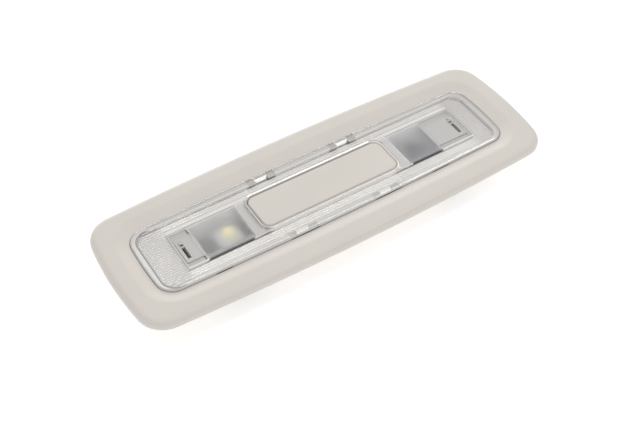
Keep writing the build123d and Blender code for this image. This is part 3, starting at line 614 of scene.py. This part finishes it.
def lens_ring(inset):
    """Outline of the lens, drawn in by a distance.

    A quarter is an arc of the side, an arc of the corner and an arc of the end. The corner's
    centre is where the side's and the end's circles cross when both are drawn in by the corner's
    radius. Drawing the outline in shortens the three radii and leaves their centres."""
    side_chord = LENS_HALF_LENGTH - LENS_END_BOW
    end_chord = LENS_HALF_WIDTH - LENS_SIDE_BOW
    side_radius = (side_chord ** 2 + LENS_SIDE_BOW ** 2) / (2 * LENS_SIDE_BOW)
    end_radius = (end_chord ** 2 + LENS_END_BOW ** 2) / (2 * LENS_END_BOW)
    side_centre = np.array([0, LENS_HALF_WIDTH - side_radius])
    end_centre = np.array([LENS_HALF_LENGTH - end_radius, 0])
    apart = end_centre - side_centre
    distance = np.hypot(*apart)
    reach = side_radius - LENS_CORNER
    along = (distance ** 2 + reach ** 2 - (end_radius - LENS_CORNER) ** 2) / (2 * distance)
    across = math.sqrt(reach ** 2 - along ** 2)
    square_to = np.array([apart[1], -apart[0]])
    corner_centre = side_centre + (along * apart + across * square_to) / distance
    start = np.arctan2(*(corner_centre - side_centre)[::-1])
    stop = np.arctan2(*(corner_centre - end_centre)[::-1])
    side = headings(np.append(np.arccos(SIDE_PLACES / side_radius), start))
    corner = headings(np.linspace(start, stop, CORNER_STEPS + 1)[1:-1])
    end = headings(np.linspace(stop, 0, END_STEPS + 1))
    return around(np.concatenate([
        side_centre + (side_radius - inset) * side,
        corner_centre + (LENS_CORNER - inset) * corner,
        end_centre + (end_radius - inset) * end,
    ]))


def window_ring(length, width, corner):
    """Rounded rectangle with as many points on each stretch as the outline of the lens has, and at
    the same places along the side where it is long enough for them."""
    half_length = length / 2 - corner
    half_width = width / 2 - corner
    bend = headings(np.linspace(np.pi / 2, 0, CORNER_STEPS + 1)[1:-1])
    along = np.linspace(0, half_length, len(SIDE_PLACES) + 1)
    if half_length > SIDE_PLACES[-1]:
        along = np.append(SIDE_PLACES, half_length)
    down = np.linspace(half_width, 0, END_STEPS + 1)
    return around(np.concatenate([
        np.stack([along, np.full_like(along, width / 2)], axis=-1),
        np.array([half_length, half_width]) + corner * bend,
        np.stack([np.full_like(down, length / 2), down], axis=-1),
    ]))


def opening_ring(grow):
    """Opening for the rocker, grown by a distance."""
    return window_ring(OPENING_LENGTH + 2 * grow, OPENING_WIDTH + 2 * grow, OPENING_CORNER + grow)


def ledge_ring(inset):
    """Inside of the ledge that the lens stands on, drawn in by a distance."""
    return window_ring(LEDGE_LENGTH - 2 * inset, LEDGE_WIDTH - 2 * inset, LEDGE_CORNER - inset)


def at_level(plan, level):
    """Points of a plan in space, at one height."""
    return np.column_stack([plan, np.full(len(plan), level)])


def stacked(rings):
    """Rows for a loft, from rings and their levels."""
    return np.stack([at_level(ring, level) for ring, level in rings])


def loft(rows, joined):
    """Skin of quads over rows of points. One row follows the path, and the rows follow each other
    round the profile, which closes on itself. The path closes too where it is joined, and
    otherwise the profile caps both its ends."""
    number = np.arange(rows.shape[0] * rows.shape[1]).reshape(rows.shape[:2])
    ahead = np.roll(number, -1, axis=0)
    quads = np.stack(
        [number, ahead, np.roll(ahead, -1, axis=1), np.roll(number, -1, axis=1)], axis=-1
    )
    points = rows.reshape(-1, 3)
    if joined:
        return points, [quads.reshape(-1, 4)]
    caps = np.stack([number[:, 0], number[::-1, -1]])
    return points, [quads[:, :-1].reshape(-1, 4), caps]


def carried(profile, start, stop, axis):
    """Straight bar: a profile of places across it and levels, carried along an axis."""
    rows = np.empty((len(profile), 2, 3))
    rows[:, :, axis] = start, stop
    rows[:, :, 1 - axis] = profile[:, :1]
    rows[:, :, 2] = profile[:, 1:]
    return loft(rows, joined=False)


def gathered(solids):
    """Several closed solids as one piece, with their faces numbered on."""
    points = [corners for corners, _ in solids]
    firsts = np.cumsum([0] + [len(corners) for corners in points[:-1]])
    blocks = [block + first for first, (_, faces) in zip(firsts, solids) for block in faces]
    return np.concatenate(points), blocks


def edge_inset(turn):
    """How far in from the outline the rounded edge is at that turn."""
    return EDGE_WIDTH * (1 - math.sin(turn))


def edge_ring(turn):
    """Ring on the rounded edge, a quarter of an ellipse, and its level: its inset falls with the
    sine of the turn and its height with the cosine."""
    return lens_ring(edge_inset(turn)), LENS_TOP - EDGE_DROP * (1 - math.cos(turn))


def lens_slab():
    """Clear slab with a hole for the rocker: rings up the wall of the hole, over the top, down the
    upper half of the rounded edge and straight to the underside."""
    hole = opening_ring(LINING + SHEET_GAP)
    mouth = opening_ring(LINING + SHEET_GAP + MOUTH_BEVEL)
    wall = [(hole, LENS_UNDER), (hole, LENS_TOP - MOUTH_BEVEL), (mouth, LENS_TOP)]
    edge = [edge_ring(turn) for turn in np.linspace(0, EDGE_FROST, EDGE_RINGS)]
    foot = (edge[-1][0], LENS_UNDER)
    return loft(stacked([*wall, *edge, foot]), joined=True)


def lens_rim():
    """Frosted lower half of the rounded edge: rings down the rounding and the outer wall, and back
    up the inner wall beside the clear slab."""
    turns = np.linspace(EDGE_FROST, np.pi / 2, EDGE_RINGS)
    (_, top), *edge = [edge_ring(turn) for turn in turns]
    inner = lens_ring(edge_inset(EDGE_FROST) - SHEET_GAP)
    wall = [(lens_ring(0), LENS_UNDER), (inner, LENS_UNDER)]
    return loft(stacked([(inner, top - SHEET_GAP), *edge, *wall]), joined=True)


def edge_bands(rings, places):
    """Bands under the edge of the lens: a profile, whose corners are rings at their levels, is
    carried along each stretch between two places, on the far side, on the near side or round an
    end. The rings are turned to start at a hook, which no band runs through."""
    start_point = np.searchsorted(SIDE_PLACES, HOOK_PLACE)
    rows = np.roll(stacked(rings), -start_point, axis=1)
    x, y = rows[0, :, 0], rows[0, :, 1]
    bands = []
    for start, stop, side in places:
        band = (x > start - PLACE_SLACK) & (x < stop + PLACE_SLACK) & (y * side >= 0)
        bands.append(loft(rows[:, band], joined=False))
    return gathered(bands)


def lens_skirt():
    """Skirt that stands on the ledge, with a lip down its inside, left open over the hooks."""
    outer, lip, inner = lens_ring(SKIRT_INSET), ledge_ring(LIP_GAP), ledge_ring(LIP_INSIDE)
    rings = (
        (outer, SKIRT_FOOT), (outer, BELOW_SLAB), (inner, BELOW_SLAB),
        (inner, LIP_FOOT), (lip, LIP_FOOT), (lip, SKIRT_FOOT),
    )
    before, after = HOOK_PLACE - HOOK_ROOM / 2, HOOK_PLACE + HOOK_ROOM / 2
    middles = [(-before, before, side) for side in (-1, 1)]
    ends = [(after, LENS_HALF_LENGTH, 0), (-LENS_HALF_LENGTH, -after, 0)]
    return edge_bands(rings, middles + ends)


def hook_flanks():
    """Low steps on both sides of each hook."""
    outer, inner = lens_ring(SKIRT_INSET), lens_ring(FLANK_WIDTH)
    top, room, beside = SKIRT_FOOT + FLANK_HEIGHT, HOOK_ROOM / 2, HOOK_WIDTH / 2 + HOOK_SIDE
    rings = ((outer, SKIRT_FOOT), (outer, top), (inner, top), (inner, SKIRT_FOOT))
    places = [
        (place + start, place + stop, side)
        for place in (-HOOK_PLACE, HOOK_PLACE) for side in (-1, 1)
        for start, stop in ((-room, -beside), (beside, room))
    ]
    return edge_bands(rings, places)


def rocker_collar():
    """Frosted wall of the opening for the rocker, with a flange out to the lamp windows: eight
    rings, from the inside of the wall over its top, round the flange and down to the foot."""
    inner, outer = opening_ring(0), opening_ring(LINING)
    flange = window_ring(COLLAR_LENGTH, OPENING_WIDTH + 2 * (LINING + COLLAR_PROUD), COLLAR_CORNER)
    top = LENS_TOP - COLLAR_DROP
    return loft(stacked((
        (inner, COLLAR_FOOT), (inner, top), (outer, top), (outer, BELOW_SLAB), (flange, BELOW_SLAB),
        (flange, COLLAR_FLANGE), (outer, COLLAR_FLANGE), (outer, COLLAR_FOOT),
    )), joined=True)


def rib_bar(low, high):
    """Straight rib between two corners of its plan: a rectangle with its lower edges bevelled,
    carried along the longer side."""
    longer = int(high[1] - low[1] > high[0] - low[0])
    left, right = low[1 - longer], high[1 - longer]
    profile = np.array([
        (left + FRAME_BEVEL, FRAME_FOOT), (right - FRAME_BEVEL, FRAME_FOOT),
        (right, FRAME_FOOT + FRAME_BEVEL), (right, BELOW_SLAB),
        (left, BELOW_SLAB), (left, FRAME_FOOT + FRAME_BEVEL),
    ])
    return carried(profile, low[longer], high[longer], longer)


def frame_rib():
    """Rib round the lamp windows on both sides of the rocker's collar, left open over the slits."""
    outer = FRAME_WIDTH / 2 - SHEET_GAP
    inner = outer - FRAME_RIB + 2 * SHEET_GAP
    stop = COLLAR_LENGTH / 2 + SHEET_GAP
    near = (FRAME_LEFT, *SLITS[0], -stop, stop, *SLITS[1], FRAME_RIGHT)
    far = (FRAME_LEFT, -stop, stop, FRAME_RIGHT)
    bars = [rib_bar((start, -outer), (end, -inner)) for start, end in zip(near[::2], near[1::2])]
    bars += [rib_bar((start, inner), (end, outer)) for start, end in zip(far[::2], far[1::2])]
    return gathered(bars)


def frame_ends():
    """Ribs across both ends of that frame."""
    reach = FRAME_WIDTH / 2 - FRAME_RIB - SHEET_GAP
    ends = ((FRAME_LEFT, FRAME_LEFT + FRAME_RIB), (FRAME_RIGHT - FRAME_RIB, FRAME_RIGHT))
    return gathered([rib_bar((start, -reach), (end, reach)) for start, end in ends])


def lens_hooks():
    """Four snap hooks: a post with a barb, drawn from the side and carried across its width."""
    back, tip = HOOK_FACE - HOOK_THICKNESS, HOOK_FACE + BARB_REACH
    side_view = np.array([
        (HOOK_FACE, BELOW_SLAB), (HOOK_FACE, BARB_TOP), (tip, BARB_TOP), (tip, BARB_EDGE),
        (HOOK_FACE, HOOK_FOOT), (back, HOOK_FOOT), (back, BELOW_SLAB),
    ])
    return gathered([
        carried(side_view * (facing, 1), place - HOOK_WIDTH / 2, place + HOOK_WIDTH / 2, axis=0)
        for place in (-HOOK_PLACE, HOOK_PLACE) for facing in (-1, 1)
    ])


def rounded_box_distance(x, y, length, width, corner):
    """Signed distance from a rounded rectangle: the length of what is left outside the inner
    rectangle, less the corner radius, negative inside."""
    over_x = np.abs(x) - length / 2 + corner
    over_y = np.abs(y) - width / 2 + corner
    outside = np.hypot(np.maximum(over_x, 0), np.maximum(over_y, 0))
    return outside + np.minimum(np.maximum(over_x, over_y), 0) - corner


def in_field(x, y):
    """Inside the skirt of the lens and outside the rib round the lamps and the rocker."""
    to_ledge = rounded_box_distance(x, y, LEDGE_LENGTH, LEDGE_WIDTH, LEDGE_CORNER)
    past_end = (x < FRAME_LEFT - PRISM_MARGIN) | (x > FRAME_RIGHT + PRISM_MARGIN)
    past_side = np.abs(y) > FRAME_WIDTH / 2 + PRISM_MARGIN
    return (to_ledge < -LIP_INSIDE - PRISM_MARGIN) & (past_end | past_side)


def beside_bay(x, y):
    """The part of the field beside the bays."""
    return in_field(x, y) & (np.abs(x) > BAY_LENGTH / 2 + BAY_MARGIN)


def in_bay(x, y):
    """The part of the field over the hooks, clear of the hooks themselves."""
    along_hook = np.abs(np.abs(x) - HOOK_PLACE) < HOOK_WIDTH / 2 + HOOK_MARGIN
    behind_hook = np.abs(y) > HOOK_FACE - HOOK_THICKNESS - HOOK_MARGIN
    within = np.abs(x) < BAY_LENGTH / 2 - BAY_MARGIN
    return in_field(x, y) & within & ~(along_hook & behind_hook)


def prism_sheet(inside):
    """Sheet with a flat top and one pyramid under each cell of a square grid.

    Cell (i, j) is kept where inside(x, y) holds at its centre. Its four corners stay at the
    base level, and its apex hangs below their mean by the depth. A wall closes each edge
    that no second kept cell shares. The grid reaches past the ledge on all sides."""
    columns = int(LEDGE_LENGTH / PRISM_PITCH) + 1
    rows = int(LEDGE_WIDTH / PRISM_PITCH) + 3
    edge_x = (np.arange(columns + 1) - columns / 2) * PRISM_PITCH
    edge_y = (np.arange(rows + 1) - rows / 2) * PRISM_PITCH
    grid = np.stack(np.meshgrid(edge_x, edge_y, indexing="ij"), axis=-1)
    middle = grid[:-1, :-1] + PRISM_PITCH / 2
    kept = inside(middle[..., 0], middle[..., 1])

    base = BELOW_SLAB - PRISM_SHEET
    corners, tips = grid.reshape(-1, 2), middle.reshape(-1, 2)
    points = np.concatenate([
        at_level(corners, BELOW_SLAB), at_level(corners, base), at_level(tips, base - PRISM_DEPTH),
    ])
    number = np.arange(len(corners)).reshape(grid.shape[:2])
    cell = (number[:-1, :-1], number[1:, :-1], number[1:, 1:], number[:-1, 1:])
    under = len(corners)
    tip = (2 * under + np.arange(len(tips)).reshape(kept.shape))[kept]

    a, b, c, d = (corner[kept] for corner in cell)
    faces = [(a, b, c), (a, c, d)]
    for first, second in ((a, b), (b, c), (c, d), (d, a)):
        faces.append((second + under, first + under, tip))
    padded = np.pad(kept, 1)
    beyond = (padded[1:-1, :-2], padded[2:, 1:-1], padded[1:-1, 2:], padded[:-2, 1:-1])
    for side, neighbour in enumerate(beyond):
        open_edge = kept & ~neighbour
        first, second = cell[side][open_edge], cell[(side + 1) % 4][open_edge]
        faces += [(first, first + under, second + under), (first, second + under, second)]

    triangles = np.concatenate([np.stack(face, axis=-1) for face in faces])
    used, triangles = np.unique(triangles, return_inverse=True)
    return points[used], [triangles.reshape(-1, 3)]


def gel_dome(x, y):
    """Square cushion of gel in a lamp's cup.

    Ring r from 0 to 1 and angle t give a point on a squircle of radius r, whose sixth powers of
    x and y add up to that of r. Its height is the crown times one minus r to the fourth, and
    the flat underside closes it at the cup floor."""
    r = np.linspace(0, 1, GEL_RINGS)[1:, None]
    t = np.linspace(0, 2 * np.pi, GEL_TURNS, endpoint=False)[None, :]
    level, floor_level = LED_TOP - SHEET_GAP, LED_TOP - LED_CUP_DEPTH + SHEET_GAP
    squircle = (np.abs(np.cos(t)) ** 6 + np.abs(np.sin(t)) ** 6) ** (1 / 6)
    reach = r * (LED_CUP / 2 - GEL_SIDE) / squircle
    height = level + GEL_CROWN * (1 - r ** 4) + 0 * t
    upper = np.stack([x + reach * np.cos(t), y + reach * np.sin(t), height], axis=-1)
    foot = upper[-1:] * (1, 1, 0) + (0, 0, floor_level)
    skin = np.concatenate([upper, foot]).reshape(-1, 3)
    points = np.concatenate([skin, [(x, y, level + GEL_CROWN), (x, y, floor_level)]])
    ring = np.arange(len(skin)).reshape(-1, GEL_TURNS)
    step = np.roll(ring, -1, axis=1)
    crown, sole = (np.full(GEL_TURNS, len(skin) + middle) for middle in (0, 1))
    triangles = (
        (ring[:-1], ring[1:], step[1:]), (ring[:-1], step[1:], step[:-1]),
        (crown, ring[0], step[0]), (sole, step[-1], ring[-1]),
    )
    return points, [np.stack(corners, axis=-1).reshape(-1, 3) for corners in triangles]


def merged_node(name):
    """Corners of a CAD node in millimetres and its triangles, which come loose: corners at the same
    place, to a tenth of a micrometre, are numbered as one."""
    mesh = frame["nodes"][name].data
    corners = np.empty(3 * len(mesh.vertices), dtype=np.float32)
    mesh.vertices.foreach_get("co", corners)
    numbers = np.empty(len(mesh.loops), dtype=np.int32)
    mesh.loops.foreach_get("vertex_index", numbers)
    places = np.round(corners.reshape(-1, 3) / MM, 4)
    points, joined = np.unique(places, axis=0, return_inverse=True)
    return points, [joined.reshape(-1)[numbers].reshape(-1, 3)]


def softbox(name, place, width, height, power):
    """Area lamp at a place in metres, aimed at the middle of the light."""
    lamp = bpy.data.lights.new(name, "AREA")
    lamp.shape = "RECTANGLE"
    lamp.size = width
    lamp.size_y = height
    lamp.energy = power
    holder = placed(name, lamp)
    holder.location = place
    holder.rotation_euler = Vector(place).to_track_quat("Z", "Y").to_euler()


def photo_camera():
    """Camera whose axes are the columns of its turn: across the picture, up it, and back from what
    it aims at."""
    across = Vector((math.cos(CAMERA_TURN), -math.sin(CAMERA_TURN), 0))
    ahead = Vector((math.sin(CAMERA_TURN), math.cos(CAMERA_TURN), 0))
    back = -ahead * math.cos(CAMERA_TILT) + Vector((0, 0, math.sin(CAMERA_TILT)))
    axes = Matrix((across, back.cross(across), back)).transposed()
    eye = (CAMERA_AIM + back * CAMERA_DISTANCE) * MM
    optics = bpy.data.cameras.new("camera")
    optics.sensor_width = SENSOR_WIDTH
    optics.lens = PIXELS_PER_MM * CAMERA_DISTANCE / IMAGE_WIDTH * SENSOR_WIDTH
    holder = placed("camera", optics)
    holder.matrix_world = Matrix.Translation(eye) @ axes.to_4x4()
    return holder


# Finishes of the CAD nodes
plastics = {
    "cream_plastic": dict(colour=(0.66, 0.62, 0.57), roughness=0.45, grain=0.3, depth=0.006),
    "led_package": dict(colour=(0.82, 0.81, 0.78), roughness=0.4, grain=FROST_GRAIN, depth=0.003),
    "dark_led": dict(colour=(0.05, 0.05, 0.06), roughness=0.35, grain=FROST_GRAIN, depth=0.003),
    "silicone": dict(colour=(0.50, 0.51, 0.52), roughness=0.6, grain=0.5, depth=0.004),
    "inlet_plastic": dict(colour=(0.03, 0.03, 0.031), roughness=0.5, grain=0.25, mottle=0.1),
    "cover_plastic": dict(colour=(0.58, 0.56, 0.53), roughness=0.55, grain=0.5, depth=0.012),
}
chips = {
    "chip_epoxy": dict(
        first_lot=(0.02, 0.02, 0.02, 1), last_lot=(0.035, 0.035, 0.034, 1), roughness=0.5
    ),
    "chip_ceramic": dict(
        first_lot=(0.42, 0.31, 0.20, 1), last_lot=(0.50, 0.39, 0.27, 1), roughness=0.55
    ),
}
metals = {
    "pin_metal": dict(
        colour=(0.78, 0.75, 0.69), roughness=0.2, scratch=0.08, stretch=(0.1, 1.0, 1.0)
    ),
    "screw_steel": dict(
        colour=(0.68, 0.68, 0.66), roughness=0.25, scratch=0.15, stretch=(1.0, 1.0, 0.2)
    ),
    "spring_steel": dict(
        colour=(0.45, 0.45, 0.46), roughness=0.28, scratch=0.1, stretch=(1.0, 1.0, 0.08)
    ),
}
finishes = {
    "clear_lens": clear_lens(),
    "carrier_plastic": carrier_finish(),
    "reflector": reflector_finish(),
    "board": circuit_board_finish(),
}
for recipe, slots in ((moulded, plastics), (chip_body, chips), (plated_metal, metals)):
    finishes.update({slot: recipe(slot, **look) for slot, look in slots.items()})
for subpart in frame["record"]["subparts"]:
    for place in frame["nodes"][subpart["node"]].material_slots:
        place.material = finishes[subpart["material_slot"]]

# Lens in place of the plain CAD one: a clear slab, with a frosted rim, ribs and hooks
slab = make_piece("lens_slab", *lens_slab(), finishes["clear_lens"], "clear_lens")
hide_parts("lens")
flank_tone = (0.52, 0.51, 0.48)
# The flanks beside the hooks carry a faint painted glow.
flank_painted_glow = dict(Emission_Color=shade(flank_tone, 1), Emission_Strength=0.12)
lens_parts = (
    ("lens_rim", lens_rim(), rim_finish()),
    ("lens_skirt", lens_skirt(), skirt_finish()),
    ("hook_flanks", hook_flanks(), frosted("flank_plastic", flank_tone, **flank_painted_glow)),
    ("lens_hooks", lens_hooks(), hook_finish()),
    # The rib round the lamp windows is painted white as a painted highlight; its end ribs keep the
    # frosted tone.
    ("frame_rib", frame_rib(), frosted("rib_painted_highlight", (0.95, 0.95, 0.94))),
    ("frame_ends", frame_ends(), frosted("frosted_rib", (0.68, 0.67, 0.65))),
    ("rocker_collar", rocker_collar(), collar_finish()),
)
for name, solid, finish in lens_parts:
    make_piece(name, *solid, finish, "clear_lens")

# Prisms moulded under the clear field of the lens
for name, inside in (("prism_field", beside_bay), ("prism_bays", in_bay)):
    sheet = prism_sheet(inside)
    make_piece(name, *sheet, finishes["clear_lens"], "clear_lens", sharp=PRISM_SHARP)

# Gel in the cups of the two lamps
smoked_gel = moulded("smoked_gel", (0.06, 0.06, 0.07), roughness=0.12, depth=0.001, Coat_Weight=0.6)
lamp_gels = (
    ("left_phosphor", -LED_PLACE[0], phosphor_gel(), "led_package"),
    ("right_gel", LED_PLACE[0], smoked_gel, "dark_led"),
)
for name, x, finish, slot in lamp_gels:
    make_piece(name, *gel_dome(x, LED_PLACE[1]), finish, slot)

# Silicone mat with the form of its CAD node, in a mesh of its own
mat = make_piece("soft_switch_mat", *merged_node("switch_mat"), finishes["silicone"], "silicone")
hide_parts("switch_mat")
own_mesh(mat)

# Floor
floor_mesh = bpy.data.meshes.new("floor")
floor_plan = FLOOR_HALF * np.array([(-1, -1), (1, -1), (1, 1), (-1, 1)])
floor_mesh.from_pydata(at_level(floor_plan, cad_box[0].z).tolist(), [], [(0, 1, 2, 3)])
floor_mesh.materials.append(floor_paper())
floor = placed("floor", floor_mesh)

# Soft studio light: an even sky, two lamps overhead and a low one behind
world = bpy.data.worlds.new("studio")
world.use_nodes = True
sky = world.node_tree.nodes["Background"]
sky.inputs["Color"].default_value = (1, 1, 1, 1)
sky.inputs["Strength"].default_value = SKY_STRENGTH
bpy.context.scene.world = world
softbox("key_lamp", (-0.3, 0.05, 0.95), width=0.45, height=0.45, power=1.8)
softbox("top_lamp", (0.36, -0.1, 0.95), width=0.25, height=0.6, power=2.8)
softbox("back_lamp", (0.4, 0.95, 0.22), width=1.0, height=0.35, power=4.2)

# Camera, at the photograph's viewing angle
bpy.context.scene.camera = photo_camera()

# Colours straight from the light, as in a plain product picture
bpy.context.scene.view_settings.view_transform = "Standard"
